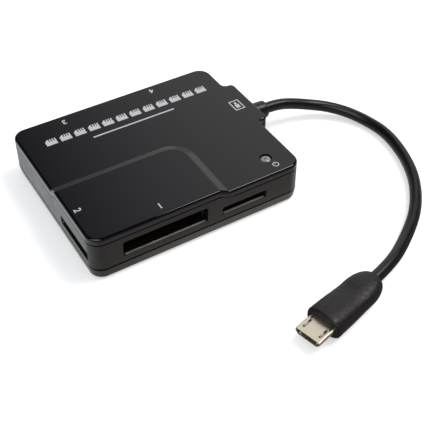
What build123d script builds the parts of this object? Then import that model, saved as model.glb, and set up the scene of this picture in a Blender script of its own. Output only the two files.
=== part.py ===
"""A usb memory card reader: three moulded shells round a board with five card sockets, on a short cord."""
import math
import os
from build123d import *

# Plan of the housing, millimetres. X runs along the front edge, Y to the rear, Z up from the table.
body_width = 60.0
body_depth = 50.0
corner_radius = 3.6
shell_wall = 1.6
tab_reach = 3.0
tab_length = 18.4
tab_centre_y = 4.7
tab_radius = 1.45
tab_least_radius = 1.4
tab_straight = 0.1

# Heights of the three shells
base_height = 3.5
base_taper = 0.35
base_overhang = 0.12
base_floor = 1.5
base_edge_round = 1.3
frame_height = 6.7
frame_draft = 0.05
lid_rim = 2.0
lid_thickness = 1.5
lid_edge_round = 0.7
seam_gap = 0.18
lip_height = 1.0
lip_wall = 0.8
lip_clearance = 0.1

# Raised field of the lid: its lower outline, its rise and the width of the ramp round it
field_right_x = 7.8
field_rear_y = -1.4
field_corner_radius = 7.0
field_rise = 1.4
ramp_width = 2.5
ramp_round = 0.8
field_overrun = 20.0

# Card slots: centre along the wall, length and height of each opening above the shared sill
slot_sill = 5.45
slot_corner_radius = 0.4
slot_lead = 0.2
slot_lead_depth = 0.7
wide_slot_centre = -10.2
wide_slot_length = 23.2
wide_slot_height = 4.25
small_slot_centre = 12.45
small_slot_length = 12.8
small_slot_height = 2.1
left_slot_from_front = 10.8
left_slot_length = 15.1
left_slot_height = 2.3
mini_slot_centre = -15.4
mini_slot_length = 21.6
mini_slot_height = 2.4
full_slot_centre = 11.0
full_slot_length = 25.6
full_slot_height = 3.0

# Circuit board and what holds it
board_thickness = 1.2
board_rest = 3.4
board_margin = 0.2
board_corner_radius = 1.0
post_diameter = 3.6
peg_diameter = 1.5
peg_clearance = 0.1
peg_height = 1.0
post_side = 5.0
post_end = 3.8
rear_post_end = 9.0
middle_post_x = 3.9
middle_post_end = 13.0
left_post_y = 1.0

# Card sockets: card width and thickness, depth behind the wall, contact count and pitch
socket_floor = 0.85
socket_side = 1.0
socket_back = 1.4
socket_clearance = 0.4
socket_wall_gap = 0.1
cover_sheet = 0.25
cover_skirt = 1.0
cover_window = 2.4
contact_sheet = 0.2
contact_side_clearance = 0.12
contact_tail = 1.1
contact_reach = 6.5
contact_lift = 0.45
contact_crest_rear = 0.35
contact_crest_front = 0.15
wide_card = {"width": 21.5, "gap": 4.2, "depth": 21.5, "count": 10, "pitch": 1.9, "blade": 0.8}
small_card = {"width": 11.0, "gap": 1.3, "depth": 14.5, "count": 8, "pitch": 1.1, "blade": 0.5}
left_card = {"width": 12.5, "gap": 1.5, "depth": 5.0, "count": 11, "pitch": 0.95, "blade": 0.4}
mini_card = {"width": 20.0, "gap": 1.7, "count": 11, "pitch": 1.5, "blade": 0.7}
full_card = {"width": 24.0, "gap": 2.4, "count": 9, "pitch": 2.3, "blade": 1.0}
wide_roof = 0.8
tail_clearance = 5.6

# Board components
chip_size = 7.0
chip_height = 0.9
chip_chamfer = 0.15
chip_x = 9.5
chip_clearance = 1.8
crystal_length = 10.8
crystal_width = 4.5
crystal_height = 3.4
crystal_flange = 0.3
crystal_flange_height = 0.5
crystal_x = 20.0
small_part_length = 1.6
small_part_width = 0.8
capacitor_height = 0.8
resistor_height = 0.5
small_part_pitch = 2.0
chip_parts_x = 3.6
lamp_parts_x = 22.0
lamp_parts_gap = 5.7

# Power lamp
lamp_x = 22.76
lamp_from_front = 6.3
lamp_diameter = 3.0
lamp_flange_diameter = 3.6
lamp_flange_height = 0.8
lamp_body_height = 2.9
lamp_below_lid = 0.1
lamp_hole_clearance = 0.15
lead_size = 0.5
lead_spacing = 1.9
lead_hole_clearance = 0.15
lead_below_board = 0.8

# Cord, its strain relief and the wires inside
cord_diameter = 3.2
cord_exit_height = 7.0
boot_diameter = 5.4
boot_end_diameter = 5.0
boot_length = 5.3
boot_end_round = 0.6
boot_neck_diameter = 4.0
boot_neck_clearance = 0.05
boot_flange_diameter = 5.6
boot_flange_thickness = 1.5
wire_diameter = 0.9
wire_spread = 0.55
wire_run = 0.8
wire_pad_x = 25.6
wire_pad_pitch = 1.4
wire_bend = 0.9
wire_first_bend = 0.22

# Plug at the far end: place of the shell's front edge on the table, its turn and its sizes
plug_front_x = 1.0
plug_front_y = -66.57
plug_turn = 15.0
plug_shell_width = 6.85
plug_shell_foot = 5.2
plug_shell_height = 1.8
plug_shell_side = 1.0
plug_shell_sheet = 0.25
plug_shell_round = 0.3
plug_shell_reach = 5.5
plug_shell_tail = 3.3
grip_stations = [(5.5, 9.6, 6.2), (8.0, 9.5, 6.06), (11.0, 9.4, 5.75), (14.0, 9.15, 5.4), (16.5, 8.9, 5.2)]
grip_shoulder = (19.0, 8.85, 5.3)
grip_end = 25.1
grip_end_size = 3.7
grip_corner_share = 0.44
grip_steps = 8
grip_front_round = 0.5
grip_front_steps = 3
grip_table_gap = 0.02
latch_offset = 2.3
latch_width = 0.42
latch_slot_width = 0.6
latch_slot_front = 1.2
latch_slot_rear = 4.3
latch_jog = 0.35
latch_proud = 0.15
latch_crest_rear = 0.5
latch_crest_front = 0.25
latch_tip = 0.1
tongue_width = 4.2
tongue_thickness = 0.5
tongue_front = 0.6
tongue_root = 4.8
plug_contact_count = 5
plug_contact_pitch = 0.65
plug_contact_width = 0.35
plug_contact_sheet = 0.12
plug_contact_front = 0.9

# Heights and places that follow from the sizes above
reader_x = -tab_reach / 2
seam_low = base_height + frame_height
lid_low = seam_low + lid_rim
board_top = board_rest + board_thickness
tab_face_x = reader_x + body_width / 2 + tab_reach
tab_inner_x = tab_face_x - shell_wall
boot_end_x = tab_face_x + frame_draft + boot_length
left_slot_centre = left_slot_from_front - body_depth / 2
lamp_y = lamp_from_front - body_depth / 2
plug_height = grip_stations[0][2] / 2 + grip_table_gap
cord_end_height = grip_shoulder[2] / 2 + grip_table_gap

# Cord route on the table, from the strain relief to the plug, chosen by hand
plug_axis = (math.cos(math.radians(plug_turn)), math.sin(math.radians(plug_turn)))
plug_rear = (plug_front_x + grip_end * plug_axis[0], plug_front_y + grip_end * plug_axis[1])
cord_last_run = 7.6
cord_floor = 1.65
cord_route = [
    (boot_end_x, tab_centre_y, cord_exit_height),
    (40.8, tab_centre_y, cord_exit_height),
    (46.0, 3.95, 5.8),
    (51.1, 2.75, 4.2),
    (55.7, 0.45, 3.3),
    (60.0, -3.55, 2.4),
    (63.1, -9.15, cord_floor),
    (64.5, -17.25, cord_floor),
    (62.2, -27.9, cord_floor),
    (57.9, -37.3, cord_floor),
    (50.6, -46.1, cord_floor),
    (42.2, -52.3, cord_floor),
    (plug_rear[0] + cord_last_run * plug_axis[0],
     plug_rear[1] + cord_last_run * plug_axis[1], cord_end_height),
    (plug_rear[0], plug_rear[1], cord_end_height),
]
cord_arc_share = 0.45

# Depths of the rear sockets: what the front sockets, the chip and the clearances leave them
depth_inside = body_depth - 2 * (shell_wall + socket_wall_gap + contact_tail)
mini_card["depth"] = depth_inside - wide_card["depth"] - tail_clearance
full_card["depth"] = depth_inside - small_card["depth"] - chip_size - 2 * chip_clearance

# Board places that follow the housing: posts, the chip between the sockets and the small parts
post_x = body_width / 2 - post_side
post_places = [
    (-post_x, left_post_y),
    (post_x, post_end - body_depth / 2),
    (post_x, body_depth / 2 - rear_post_end),
    (middle_post_x, middle_post_end - body_depth / 2),
]
chip_y = (small_card["depth"] - full_card["depth"]) / 2
capacitor_places = [(chip_parts_x, chip_y + small_part_pitch * (row - 1.5)) for row in range(4)]
resistor_places = []
for column in range(2):
    for row in range(3):
        across = lamp_parts_x + small_part_pitch * column
        resistor_places.append((across, lamp_y + lamp_parts_gap + small_part_pitch * row))

# A solid that stands on its own origin
standing = (Align.CENTER, Align.CENTER, Align.MIN)

# Limits for picking edges on the lid
flat_tolerance = 0.01
steepest_rim = 0.9


def reader(x, y, z=0.0):
    """A place on the reader, counted from the middle of its plan."""
    return Pos(reader_x + x, y, z)


def plan(inset):
    """The housing's outline with its cable tab, moved in by inset."""
    half_width = body_width / 2 - inset
    body = RectangleRounded(2 * half_width, body_depth - 2 * inset, corner_radius - inset)
    tab = Rectangle(tab_reach + corner_radius, tab_length - 2 * inset)
    face = body + Pos(half_width + (tab_reach - corner_radius) / 2, tab_centre_y) * tab
    outer_radius = max(tab_radius - inset, tab_least_radius)
    root_radius = tab_reach - outer_radius - tab_straight
    corners = face.vertices().filter_by_position(Axis.Y, tab_centre_y - tab_length / 2 + inset - tab_straight,
                                                 tab_centre_y + tab_length / 2 - inset + tab_straight)
    face = fillet(corners.group_by(Axis.X)[-1], outer_radius)
    corners = face.vertices().filter_by_position(Axis.Y, tab_centre_y - tab_length / 2 + inset - tab_straight,
                                                 tab_centre_y + tab_length / 2 - inset + tab_straight)
    face = fillet(corners.group_by(Axis.X)[0], root_radius)
    return Pos(reader_x, 0) * face


def prism(inset, low, high):
    """The plan, moved in by inset, from one height to another."""
    return Pos(0, 0, low) * extrude(plan(inset), amount=high - low)


def field_outline(inset):
    """The raised field's outline, carried past the housing on the left and at the front."""
    width = field_right_x - inset + body_width / 2 + field_overrun
    depth = field_rear_y - inset + body_depth / 2 + field_overrun
    face = Rectangle(width, depth)
    corner = face.vertices().sort_by(Axis.X)[-2:].sort_by(Axis.Y)[-1]
    face = fillet([corner], field_corner_radius - inset)
    return reader(field_right_x - inset - width / 2, field_rear_y - inset - depth / 2) * face


def stepped(height):
    """All that lies under a level with the raised field's step on it."""
    floor_width = body_width + 2 * field_overrun
    floor_depth = body_depth + 2 * field_overrun
    low = Pos(0, 0, height / 2) * Box(floor_width, floor_depth, height)
    foot = Pos(0, 0, height) * field_outline(0)
    crest = Pos(0, 0, height + field_rise) * field_outline(ramp_width)
    rise = loft([foot, crest], ruled=True)
    return low + rise


def slot_cut(length, height, outward):
    """The cutter of one card slot through a wall across Y, on its sill, with a lead-in outside."""
    face = Plane.XZ * RectangleRounded(length, height, slot_corner_radius)
    flare = 2 * slot_lead
    mouth = Plane.XZ * RectangleRounded(length + 2 * flare, height + 2 * flare, slot_corner_radius + flare)
    inner = Pos(0, outward * (shell_wall / 2 - slot_lead_depth), 0) * face
    lead_in = loft([inner, Pos(0, outward * (shell_wall / 2 + slot_lead_depth), 0) * mouth])
    return Pos(0, 0, height / 2) * (extrude(face, amount=2 * shell_wall, both=True) + lead_in)


def tab_gap():
    """The stretch where a shell's lip is left out, for the strain relief inside the tab."""
    return Box(4 * tab_reach, tab_length, 4 * lip_height)


def top_cover():
    """The glossy lid: a stepped plate with a rim and a lip that drops inside the frame."""
    shell = (prism(0, 0, lid_low + field_rise) & stepped(lid_low)) - stepped(seam_low)
    ramp_lines = [field_outline(0).wire(), field_outline(ramp_width).wire()]
    shell = fillet(flat_edges_on(shell, ramp_lines), ramp_round)
    shell = fillet(rim_edges(shell), lid_edge_round)
    gap = prism(0, 0, lid_low + field_rise) - prism(seam_gap, 0, lid_low + field_rise)
    shell -= gap & stepped(seam_low + seam_gap)
    ceiling = stepped(lid_low - lid_thickness)
    shell -= prism(shell_wall, 0, lid_low + field_rise) & ceiling
    ring = prism(shell_wall + lip_clearance, 0, lid_low + field_rise)
    ring -= prism(shell_wall + lip_clearance + lip_wall, 0, lid_low + field_rise)
    ring -= Pos(tab_face_x, tab_centre_y, seam_low) * tab_gap()
    shell += (ring & ceiling) - stepped(seam_low - lip_height)
    shell -= reader(lamp_x, lamp_y, lid_low) * Cylinder(lamp_diameter / 2 + lamp_hole_clearance, 2 * lid_low)
    return shell


def flat_edges_on(shell, lines):
    """The lid's level edges that lie over one of the lines drawn on its plan, away from its underside."""
    found = []
    for edge in shell.edges():
        middle = edge @ 0.5
        box = edge.bounding_box()
        level = box.max.Z - box.min.Z < flat_tolerance and middle.Z > lid_low - flat_tolerance
        spot = Vertex(middle.X, middle.Y, 0)
        if level and min(line.distance_to(spot) for line in lines) < flat_tolerance:
            found.append(edge)
    return found


def rim_edges(shell):
    """The edges round the top of the lid, where its walls meet the top faces."""
    wall = plan(0).wire()
    found = []
    for edge in shell.edges():
        middle = edge @ 0.5
        on_wall = wall.distance_to(Vertex(middle.X, middle.Y, 0)) < flat_tolerance
        if on_wall and middle.Z > lid_low - flat_tolerance and abs((edge % 0.5).Z) < steepest_rim:
            found.append(edge)
    return found


def slot_frame():
    """The middle ring with the card slots and the tab that the cord leaves by."""
    top = seam_low + field_rise
    outer = loft([Pos(0, 0, base_height) * plan(-frame_draft), Pos(0, 0, top) * plan(0)], ruled=True)
    ring = (outer & stepped(seam_low)) - prism(shell_wall, 0, top)
    front = -body_depth / 2 + shell_wall / 2
    ring -= reader(wide_slot_centre, front, slot_sill) * slot_cut(wide_slot_length, wide_slot_height, -1)
    ring -= reader(small_slot_centre, front, slot_sill) * slot_cut(small_slot_length, small_slot_height, -1)
    ring -= reader(mini_slot_centre, -front, slot_sill) * slot_cut(mini_slot_length, mini_slot_height, 1)
    ring -= reader(full_slot_centre, -front, slot_sill) * slot_cut(full_slot_length, full_slot_height, 1)
    left = reader(-body_width / 2 + shell_wall / 2, left_slot_centre, slot_sill) * Rot(0, 0, 90)
    ring -= left * slot_cut(left_slot_length, left_slot_height, 1)
    hole = Cylinder(boot_neck_diameter / 2 + boot_neck_clearance, 4 * shell_wall)
    ring -= Pos(tab_face_x, tab_centre_y, cord_exit_height) * Rot(0, 90, 0) * hole
    return ring


def bottom_cover():
    """The tray: rounded walls, a floor, a lip inside the frame and the posts that carry the board."""
    outer = loft([plan(base_taper), Pos(0, 0, base_height) * plan(-base_overhang)], ruled=True)
    outer = fillet(outer.faces().sort_by(Axis.Z)[0].edges(), base_edge_round)
    gap_low = base_height - seam_gap
    outer -= prism(-2 * base_overhang, gap_low, base_height) - prism(seam_gap, gap_low, base_height)
    tray = outer - prism(base_taper + shell_wall, base_floor, base_height)
    lip_top = base_height + lip_height
    ring = prism(shell_wall + lip_clearance, base_floor, lip_top)
    ring -= prism(shell_wall + lip_clearance + lip_wall, base_floor, lip_top)
    ring -= Pos(tab_face_x, tab_centre_y, base_height) * tab_gap()
    tray += ring
    for x, y in post_places:
        post = Cylinder(post_diameter / 2, board_rest - base_floor, align=standing)
        peg = Cylinder(peg_diameter / 2, board_thickness + peg_height, align=standing)
        tray += reader(x, y, base_floor) * post
        tray += reader(x, y, board_rest) * peg
    return tray


def circuit_board():
    """The board: a rounded rectangle inside the tray's lip, drilled for the pegs and the lamp's leads."""
    inset = shell_wall + lip_clearance + lip_wall + board_margin
    face = RectangleRounded(body_width - 2 * inset, body_depth - 2 * inset, board_corner_radius)
    board = reader(0, 0, board_rest) * extrude(face, amount=board_thickness)
    for x, y in post_places:
        board -= reader(x, y, board_rest) * Cylinder(peg_diameter / 2 + peg_clearance, 4 * board_thickness)
    for x in lead_places():
        drill = Cylinder(lead_size / 2 + lead_hole_clearance, 4 * board_thickness)
        board -= reader(x, lamp_y, board_rest) * drill
    return board


def lead_places():
    """Where the lamp's two leads stand along X."""
    return (lamp_x - lead_spacing / 2, lamp_x + lead_spacing / 2)


def block(width, depth, height):
    """A box that stands on its origin and runs back from it along Y."""
    return Box(width, depth, height, align=(Align.CENTER, Align.MIN, Align.MIN))


def contact_lines(card):
    """The places of a socket's contacts across its width."""
    first = -card["pitch"] * (card["count"] - 1) / 2
    return [first + card["pitch"] * index for index in range(card["count"])]


def socket_width(card):
    """The outside width of a socket's moulding."""
    return card["width"] + socket_clearance + 2 * socket_side


def reach(card):
    """How far a contact stretches forward from the socket's back wall."""
    return min(contact_reach, card["depth"] - socket_back - contact_tail)


def socket_base(card, roof):
    """A socket's moulding: floor, sides and back, open at the front, with a slit for each contact."""
    base = block(socket_width(card), card["depth"], socket_floor + card["gap"] + roof)
    hollow = block(card["width"] + socket_clearance, card["depth"] - socket_back, card["gap"])
    base -= Pos(0, 0, socket_floor) * hollow
    slit_length = reach(card) + socket_back + contact_side_clearance
    for x in contact_lines(card):
        slit = block(card["blade"] + 2 * contact_side_clearance, slit_length, socket_floor)
        base -= Pos(x, card["depth"] - slit_length, 0) * slit
    return base


def socket_contacts(card, place):
    """The row of contact springs: a tail on the board and a blade that lifts to the card."""
    rear = card["depth"] + contact_tail
    root = card["depth"] - socket_back
    tip = root - reach(card)
    mid = contact_sheet / 2
    crest = socket_floor + contact_lift
    length = root - tip
    path = Polyline((rear, mid), (root, mid), (tip + contact_crest_rear * length, crest),
                    (tip + contact_crest_front * length, crest), (tip, socket_floor))
    blade = extrude(Plane.YZ * trace(path, contact_sheet), amount=card["blade"] / 2, both=True)
    return Compound(children=[place * Pos(x, 0, 0) * blade for x in contact_lines(card)])


def socket_cover(card):
    """A socket's folded steel cover: a plate over the moulding with a skirt down each side."""
    width = socket_width(card)
    height = socket_floor + card["gap"]
    plate = Pos(0, 0, height) * block(width + 2 * cover_sheet, card["depth"], cover_sheet)
    window = block(width / 2, cover_window / 2, cover_sheet)
    cover = plate - Pos(0, card["depth"] - socket_back - cover_window, height) * window
    for side in (-1, 1):
        skirt = block(cover_sheet, card["depth"], cover_skirt)
        cover += Pos(side * (width + cover_sheet) / 2, 0, height - cover_skirt) * skirt
    return cover


def socket_place(side, centre):
    """Where a socket's mouth meets the inside of its wall, and the way that it faces."""
    half_width = body_width / 2 - shell_wall - socket_wall_gap
    half_depth = body_depth / 2 - shell_wall - socket_wall_gap
    if side == "front":
        return reader(centre, -half_depth, board_top)
    if side == "rear":
        return reader(centre, half_depth, board_top) * Rot(0, 0, 180)
    return reader(-half_width, centre, board_top) * Rot(0, 0, -90)


def card_sockets():
    """The nodes of the five sockets, each set behind its own slot."""
    nodes = {}
    sockets = [("small_socket", small_card, "front", small_slot_centre),
               ("left_socket", left_card, "left", left_slot_centre),
               ("mini_socket", mini_card, "rear", mini_slot_centre),
               ("full_socket", full_card, "rear", full_slot_centre)]
    for name, card, side, centre in sockets:
        place = socket_place(side, centre)
        nodes[name + "_base"] = place * socket_base(card, 0)
        nodes[name + "_contacts"] = socket_contacts(card, place)
        nodes[name + "_cover"] = place * socket_cover(card)
    place = socket_place("front", wide_slot_centre)
    nodes["wide_socket_base"] = place * socket_base(wide_card, wide_roof)
    nodes["wide_socket_contacts"] = socket_contacts(wide_card, place)
    return nodes


def controller_chip():
    """The controller: a flat leadless package with a chamfered top."""
    body = Box(chip_size, chip_size, chip_height, align=standing)
    body = chamfer(body.faces().sort_by(Axis.Z)[-1].edges(), chip_chamfer)
    return reader(chip_x, chip_y, board_top) * body


def clock_crystal():
    """The clock crystal's drawn can on its wider base."""
    foot = SlotOverall(crystal_length + 2 * crystal_flange, crystal_width + 2 * crystal_flange)
    can = extrude(SlotOverall(crystal_length, crystal_width), amount=crystal_height)
    can = fillet(can.faces().sort_by(Axis.Z)[-1].edges(), crystal_flange)
    return reader(crystal_x, chip_y, board_top) * (extrude(foot, amount=crystal_flange_height) + can)


def small_parts(places, height):
    """A group of equal small components on the board."""
    body = Box(small_part_length, small_part_width, height, align=standing)
    return Compound(children=[reader(x, y, board_top) * body for x, y in places])


def power_lamp():
    """The lamp: a flanged cylinder with a domed end, just under the lid's surface."""
    dome = lamp_diameter / 2
    foot = lamp_foot()
    body = Cylinder(dome, lamp_flange_height + lamp_body_height, align=standing)
    body += Pos(0, 0, lamp_flange_height + lamp_body_height) * Sphere(dome)
    body += Cylinder(lamp_flange_diameter / 2, lamp_flange_height, align=standing)
    return reader(lamp_x, lamp_y, foot) * body


def lamp_foot():
    """Height of the lamp's underside."""
    return lid_low - lamp_below_lid - lamp_diameter / 2 - lamp_body_height - lamp_flange_height


def lamp_leads():
    """The lamp's two square leads, from under the board up to its foot."""
    low = board_rest - lead_below_board
    lead = Box(lead_size, lead_size, lamp_foot() - low, align=standing)
    return Compound(children=[reader(x, lamp_y, low) * lead for x in lead_places()])


def strain_relief():
    """The moulded boot: a flange inside the tab, a neck in its wall and a tapered collar outside."""
    collar_x = tab_face_x + frame_draft
    profile = Polyline(
        (tab_inner_x - boot_flange_thickness, 0),
        (tab_inner_x - boot_flange_thickness, boot_flange_diameter / 2),
        (tab_inner_x, boot_flange_diameter / 2),
        (tab_inner_x, boot_neck_diameter / 2),
        (collar_x, boot_neck_diameter / 2),
        (collar_x, boot_diameter / 2),
        (boot_end_x, boot_end_diameter / 2),
        (boot_end_x, 0),
        close=True)
    face = make_face(profile)
    end_corner = face.vertices().sort_by(Axis.X)[-2:].sort_by(Axis.Y)[-1]
    face = fillet([end_corner], boot_end_round)
    return Pos(0, tab_centre_y, cord_exit_height) * revolve(Plane.XZ * face, Axis.X)


def cable_wires():
    """Four wires from the boot's inner face down to their pads on the board."""
    start_x = tab_inner_x - boot_flange_thickness
    names = ["supply_wire", "first_data_wire", "second_data_wire", "ground_wire"]
    nodes = {}
    for index, name in enumerate(names):
        across = tab_centre_y + wire_spread * (-1 if index < 2 else 1)
        height = cord_exit_height + wire_spread * (1 if index in (1, 2) else -1)
        pad_y = tab_centre_y + wire_pad_pitch * (index - (len(names) - 1) / 2)
        pad = (reader_x + wire_pad_x, pad_y, board_top)
        over = (reader_x + wire_pad_x, pad_y, height)
        path = FilletPolyline((start_x, across, height), (start_x - wire_run, across, height), over, pad,
                              radius=[wire_first_bend, wire_bend])
        nodes[name] = sweep(Plane(path @ 0, z_dir=path % 0) * Circle(wire_diameter / 2), path=path)
    return nodes


def turn_radii(points):
    """The largest arcs that the route's runs leave room for, one for each corner."""
    radii = []
    for before, corner, after in zip(points, points[1:], points[2:]):
        arrive = Vector(corner) - Vector(before)
        leave = Vector(after) - Vector(corner)
        half_turn = math.radians(arrive.get_angle(leave)) / 2
        radii.append(cord_arc_share * min(arrive.length, leave.length) / math.tan(half_turn))
    return radii


def cord():
    """The cord: a plain round tube along its route."""
    radii = turn_radii(cord_route)
    path = FilletPolyline(*cord_route, radius=radii)
    tube = sweep(Plane(path @ 0, z_dir=path % 0) * Circle(cord_diameter / 2), path=path)
    plain_volume = path.length * math.pi * cord_diameter ** 2 / 4
    print("cord arcs", [round(radius, 1) for radius in radii])
    print("cord length", round(path.length, 2))
    print("cord volume over section times length", round(tube.volume / plain_volume, 5))
    return tube


def plug_place():
    """The plug's own frame: X runs back from the shell's front edge, Z up."""
    return Pos(plug_front_x, plug_front_y, plug_height) * Rot(0, 0, plug_turn)


def shell_section():
    """The plug shell's outline: wide above, narrower below."""
    top = plug_shell_height / 2
    half = plug_shell_width / 2
    foot = plug_shell_foot / 2
    waist = top - plug_shell_side
    corners = [(-half, top), (half, top), (half, waist), (foot, -top), (-foot, -top), (-half, waist)]
    face = make_face(Polyline(*corners, close=True))
    return fillet(face.vertices(), plug_shell_round)


def inner_section():
    """The hollow inside the plug shell."""
    return offset(shell_section(), -plug_shell_sheet)


def along_plug(face, start, end):
    """A section drawn across the plug, pushed from one distance to another."""
    return Pos(start, 0, 0) * extrude(Plane.YZ * face, amount=end - start)


def plug_shell():
    """The folded steel shell with two jogged latch slots in its wide face."""
    end = plug_shell_reach + plug_shell_tail
    shell = along_plug(shell_section(), 0, end) - along_plug(inner_section(), 0, end)
    middle = (latch_slot_front + latch_slot_rear) / 2
    for side in (-1, 1):
        length = latch_slot_rear - middle
        slot = Box(length, latch_slot_width, plug_shell_height, align=(Align.MIN, Align.CENTER, Align.MIN))
        shell -= Pos(latch_slot_front, side * latch_offset, 0) * slot
        shell -= Pos(middle, side * latch_offset, 0) * slot
        tail = Box(plug_shell_reach - latch_slot_rear, latch_jog, plug_shell_height,
                   align=(Align.MIN, Align.CENTER, Align.MIN))
        shell -= Pos(latch_slot_rear, side * (latch_offset + latch_jog), 0) * tail
    return shell


def plug_latches():
    """Two sprung hooks under the shell's wide face, with their crests through the slots."""
    under = plug_shell_height / 2 - plug_shell_sheet
    mid = under - plug_shell_sheet / 2
    crest = plug_shell_height / 2 + latch_proud - plug_shell_sheet / 2
    reach_back = latch_slot_rear - latch_slot_front
    path = Polyline((tongue_root, mid), (latch_slot_rear, mid),
                    (latch_slot_front + latch_crest_rear * reach_back, crest),
                    (latch_slot_front + latch_crest_front * reach_back, crest),
                    (latch_slot_front + latch_tip * reach_back, 0))
    hook = extrude(Plane.XZ * trace(path, plug_shell_sheet), amount=latch_width / 2, both=True)
    return Compound(children=[plug_place() * Pos(0, side * latch_offset, 0) * hook for side in (-1, 1)])


def plug_tongue():
    """The plug's insulator: a block that fills the shell's tail and a thin tongue in its mouth."""
    end = plug_shell_reach + plug_shell_tail
    floor = plug_shell_sheet - plug_shell_height / 2
    body = along_plug(inner_section(), tongue_root, end)
    tongue = Box(tongue_root - tongue_front, tongue_width, tongue_thickness,
                 align=(Align.MIN, Align.CENTER, Align.MIN))
    return body + Pos(tongue_front, 0, floor) * tongue


def plug_contacts():
    """Five flat springs on the tongue."""
    level = plug_shell_sheet - plug_shell_height / 2 + tongue_thickness
    strip = Box(tongue_root - plug_contact_front, plug_contact_width, plug_contact_sheet,
                align=(Align.MIN, Align.CENTER, Align.MIN))
    first = -plug_contact_pitch * (plug_contact_count - 1) / 2
    strips = []
    for index in range(plug_contact_count):
        across = first + plug_contact_pitch * index
        strips.append(plug_place() * Pos(plug_contact_front, across, level) * strip)
    return Compound(children=strips)


def grip_section(distance, width, height, centre):
    """One rounded cross-section of the grip, at a height counted from the plug's axis."""
    face = RectangleRounded(width, height, grip_corner_share * height)
    return Plane.YZ.offset(distance) * Pos(0, centre) * face


def grip_sections():
    """The grip's sections from its rounded front edge over the waist and the shoulder to the cord."""
    front, front_width, front_height = grip_stations[0]
    sections = []
    for step in range(grip_front_steps):
        angle = math.radians(90 * step / grip_front_steps)
        back = grip_front_round * (1 - math.cos(angle))
        less = 2 * grip_front_round * (1 - math.sin(angle))
        sections.append((front + back, front_width - less, front_height - less, 0))
    for distance, width, height in grip_stations[1:]:
        sections.append((distance, width, height, (height - front_height) / 2))
    shoulder, width, height = grip_shoulder
    for step in range(grip_steps + 1):
        angle = math.radians(90 * step / grip_steps)
        share = math.cos(angle)
        place = shoulder + (grip_end - shoulder) * math.sin(angle)
        sections.append((place, grip_end_size + (width - grip_end_size) * share,
                         grip_end_size + (height - grip_end_size) * share, (height - front_height) / 2))
    return sections


def plug_grip():
    """The overmoulded grip: a flattened oval with a slight waist that rounds down to the cord."""
    grip = loft([grip_section(*section) for section in grip_sections()], ruled=True)
    return grip - along_plug(shell_section(), 0, plug_shell_reach + plug_shell_tail)


def all_nodes():
    """Every piece of the reader, by name."""
    nodes = {"top_cover": top_cover(), "slot_frame": slot_frame(), "bottom_cover": bottom_cover()}
    nodes["circuit_board"] = circuit_board()
    nodes["controller_chip"] = controller_chip()
    nodes["clock_crystal"] = clock_crystal()
    nodes["board_capacitors"] = small_parts(capacitor_places, capacitor_height)
    nodes["board_resistors"] = small_parts(resistor_places, resistor_height)
    nodes["power_lamp"] = power_lamp()
    nodes["lamp_leads"] = lamp_leads()
    nodes.update(card_sockets())
    nodes["strain_relief"] = strain_relief()
    nodes.update(cable_wires())
    nodes["cord"] = cord()
    nodes["plug_grip"] = plug_place() * plug_grip()
    nodes["plug_shell"] = plug_place() * plug_shell()
    nodes["plug_latches"] = plug_latches()
    nodes["plug_tongue"] = plug_place() * plug_tongue()
    nodes["plug_contacts"] = plug_contacts()
    return nodes


os.makedirs("parts", exist_ok=True)
for node_name, shape in all_nodes().items():
    export_step(shape, "parts/" + node_name + ".step")
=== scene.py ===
# %% [markdown]
# A card reader on a short cord, dressed for its portrait.
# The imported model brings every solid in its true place. This lesson gives each of them a finish that is
# worked out by nodes, swaps the stiff cord for a smooth one and adds the small things that a mould, a
# printer and a solder bath leave behind. All lengths are in metres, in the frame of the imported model.

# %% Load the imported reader
import math
import bpy
import bmesh
from mathutils import Matrix, Vector


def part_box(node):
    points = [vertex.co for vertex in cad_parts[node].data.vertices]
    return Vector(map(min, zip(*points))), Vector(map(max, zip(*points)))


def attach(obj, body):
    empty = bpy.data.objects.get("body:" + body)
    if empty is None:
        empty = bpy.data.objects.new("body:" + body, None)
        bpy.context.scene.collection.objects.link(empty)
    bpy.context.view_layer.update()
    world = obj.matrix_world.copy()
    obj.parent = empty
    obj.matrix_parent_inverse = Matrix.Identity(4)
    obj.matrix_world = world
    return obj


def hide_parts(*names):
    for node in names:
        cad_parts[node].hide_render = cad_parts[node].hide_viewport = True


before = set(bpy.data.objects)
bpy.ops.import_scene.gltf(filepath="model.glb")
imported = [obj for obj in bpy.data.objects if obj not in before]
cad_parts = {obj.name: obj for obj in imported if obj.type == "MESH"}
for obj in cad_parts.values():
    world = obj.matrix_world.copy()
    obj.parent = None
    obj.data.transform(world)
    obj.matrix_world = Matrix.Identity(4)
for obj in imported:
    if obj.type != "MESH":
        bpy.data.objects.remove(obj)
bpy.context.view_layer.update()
MM = 0.001
scene = bpy.context.scene

# %% [markdown]
# The camera stands where the photographer stood: in front of the reader, a little to its left, looking
# down by some 44 degrees. Three directions and a focal length fix it. Blender's camera looks along its
# own -Z, so the matrix takes the right, the up and the backward direction as its columns.

# %% Camera
camera_eye = Vector((-79.67, -158.84, 157.20)) * MM
camera_forward = Vector((0.37642, 0.61386, -0.69389)).normalized()
camera_right = Vector((0.85446, -0.51950, 0.00395))
camera_right = (camera_right - camera_forward * camera_right.dot(camera_forward)).normalized()
camera_up = camera_right.cross(camera_forward)
camera_data = bpy.data.cameras.new("portrait_camera")
camera_data.sensor_fit = "HORIZONTAL"
camera_data.sensor_width = 36.0
camera_data.lens = 72.36
camera_data.clip_start = 0.005
camera = bpy.data.objects.new("portrait_camera", camera_data)
turn = Matrix((camera_right, camera_up, -camera_forward)).transposed().to_4x4()
camera.matrix_world = Matrix.Translation(camera_eye) @ turn
scene.collection.objects.link(camera)
scene.camera = camera
print("camera height", round(camera_eye.z, 4))

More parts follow.
